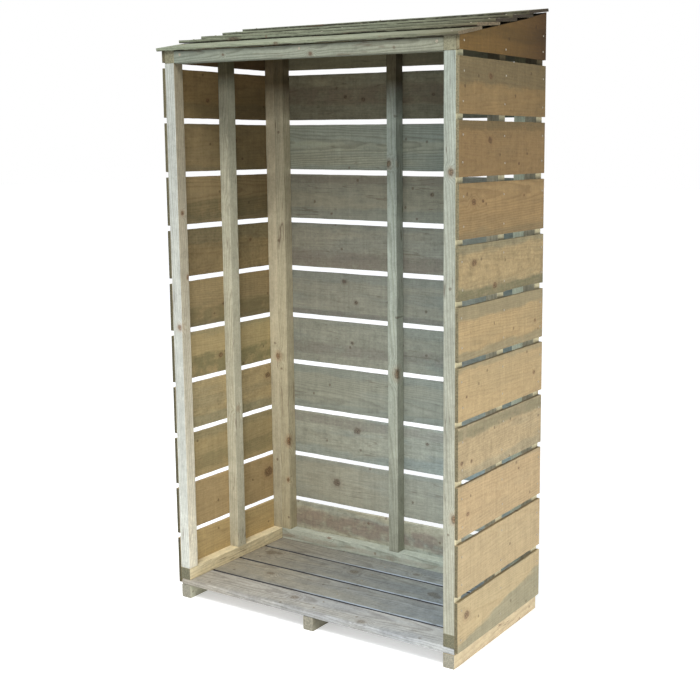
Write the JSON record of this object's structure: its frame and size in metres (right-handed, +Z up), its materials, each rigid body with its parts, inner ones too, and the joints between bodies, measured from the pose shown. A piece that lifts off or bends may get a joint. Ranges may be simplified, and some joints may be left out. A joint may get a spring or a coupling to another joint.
{
  "type": "log store",
  "caption": "Tall open-fronted timber log store with slatted side and back walls, a raised board floor and a lapped lean-to roof sloping down to the front.",
  "frame": {"origin": "on the ground, at the centre of the underside of the centre bearer", "axes": "+X to the right seen from the open front, +Y to the back, +Z up"},
  "size_m": [1.028, 0.5144, 1.7869],
  "materials": {
    "frame_timber": "weathered pressure-treated sawn timber, matte",
    "floor_timber": "weathered grey boards, matte",
    "side_board_timber": "rough sawn golden-brown boards, matte",
    "back_board_timber": "rough sawn grey-olive boards, matte",
    "roof_board_timber": "grey-green treated boards, matte"
  },
  "bodies": {
    "root": {"back_bottom_rail": "frame_timber", "back_left_stile": "frame_timber", "back_middle_stile": "frame_timber", "back_right_stile": "frame_timber", "back_top_rail": "frame_timber", "back_wall_boards": "back_board_timber", "centre_bearer": "frame_timber", "centre_rafter": "frame_timber", "floor_board_1": "floor_timber", "floor_board_2": "floor_timber", "floor_board_3": "floor_timber", "floor_board_4": "floor_timber", "header": "frame_timber", "left_back_stile": "frame_timber", "left_bearer": "frame_timber", "left_bottom_rail": "frame_timber", "left_front_stile": "frame_timber", "left_middle_stile": "frame_timber", "left_top_rail": "frame_timber", "left_wall_boards": "side_board_timber", "right_back_stile": "frame_timber", "right_bearer": "frame_timber", "right_bottom_rail": "frame_timber", "right_front_stile": "frame_timber", "right_middle_stile": "frame_timber", "right_top_rail": "frame_timber", "right_wall_boards": "side_board_timber", "roof_board_1": "roof_board_timber", "roof_board_2": "roof_board_timber", "roof_board_3": "roof_board_timber", "roof_board_4": "roof_board_timber", "roof_board_5": "roof_board_timber"}
  },
  "joints": []
}
